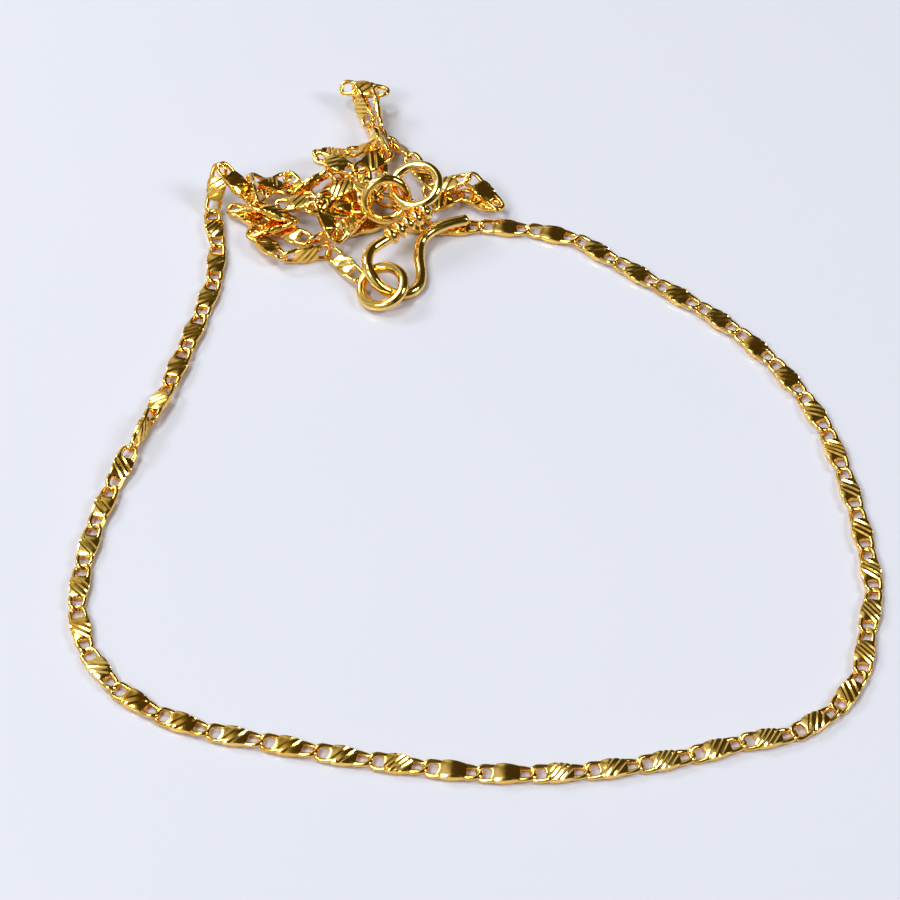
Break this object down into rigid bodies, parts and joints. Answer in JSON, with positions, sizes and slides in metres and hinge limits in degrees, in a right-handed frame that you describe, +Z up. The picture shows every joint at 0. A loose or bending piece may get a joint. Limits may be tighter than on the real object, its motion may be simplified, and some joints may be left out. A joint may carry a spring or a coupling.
{
  "type": "plate link chain necklace",
  "caption": "Flat plate-link chain necklace with an S-hook clasp, lying down with one wide open bight and the rest folded in a small heap.",
  "frame": {"origin": "middle of the part's plan, on the surface it lies on", "axes": "+Z up off the surface, -Y towards the middle of the open bight, which is the viewer's side; the heap and the clasp are on the +Y side"},
  "size_m": [0.0778, 0.0889, 0.0062],
  "materials": {
    "gold": "polished gold-tone plate links with cut grooves",
    "bright_gold": "polished gold-tone wire"
  },
  "bodies": {
    "root": {"chain_front": "gold", "chain_pile": "gold", "s_hook": "bright_gold"}
  },
  "joints": []
}
